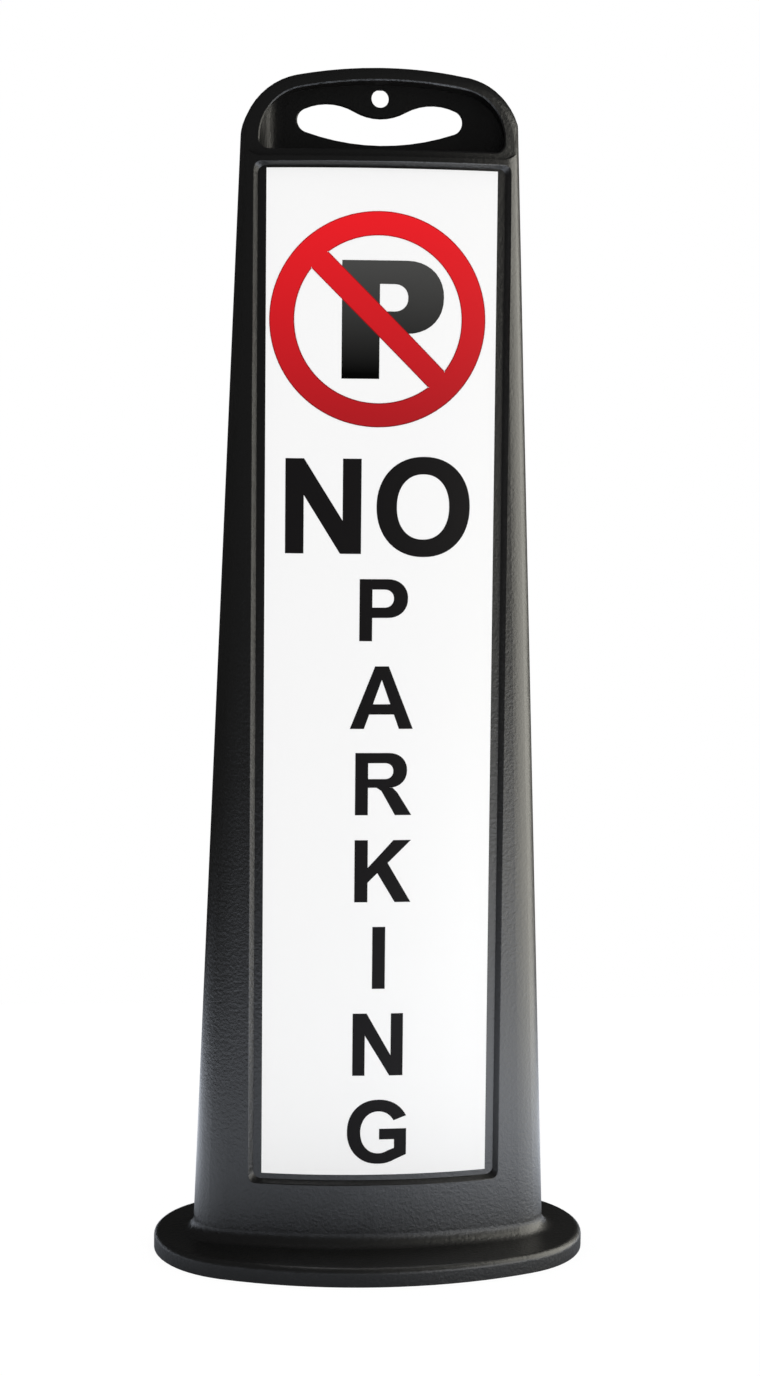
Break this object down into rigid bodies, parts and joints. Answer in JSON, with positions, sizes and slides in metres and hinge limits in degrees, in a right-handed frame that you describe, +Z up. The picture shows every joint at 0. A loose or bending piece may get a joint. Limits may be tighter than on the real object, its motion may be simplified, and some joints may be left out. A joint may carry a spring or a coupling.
{
  "type": "parking sign",
  "caption": "Tall hollow panel sign that tapers up from a flared oval foot to a handle with a hand hole, with a curved white sheet in its front recess.",
  "frame": {"origin": "on the floor, under the middle of the panel", "axes": "+X to the right as seen from the front, the front with the white sheet faces -Y, +Z up"},
  "size_m": [0.4046, 0.2582, 1.089],
  "materials": {
    "panel_body": "black moulded polyethylene with a satin grain",
    "sign_sheet": "white reflective sheeting"
  },
  "bodies": {
    "root": {"panel_body": "panel_body", "sign_sheet": "sign_sheet"}
  },
  "joints": []
}
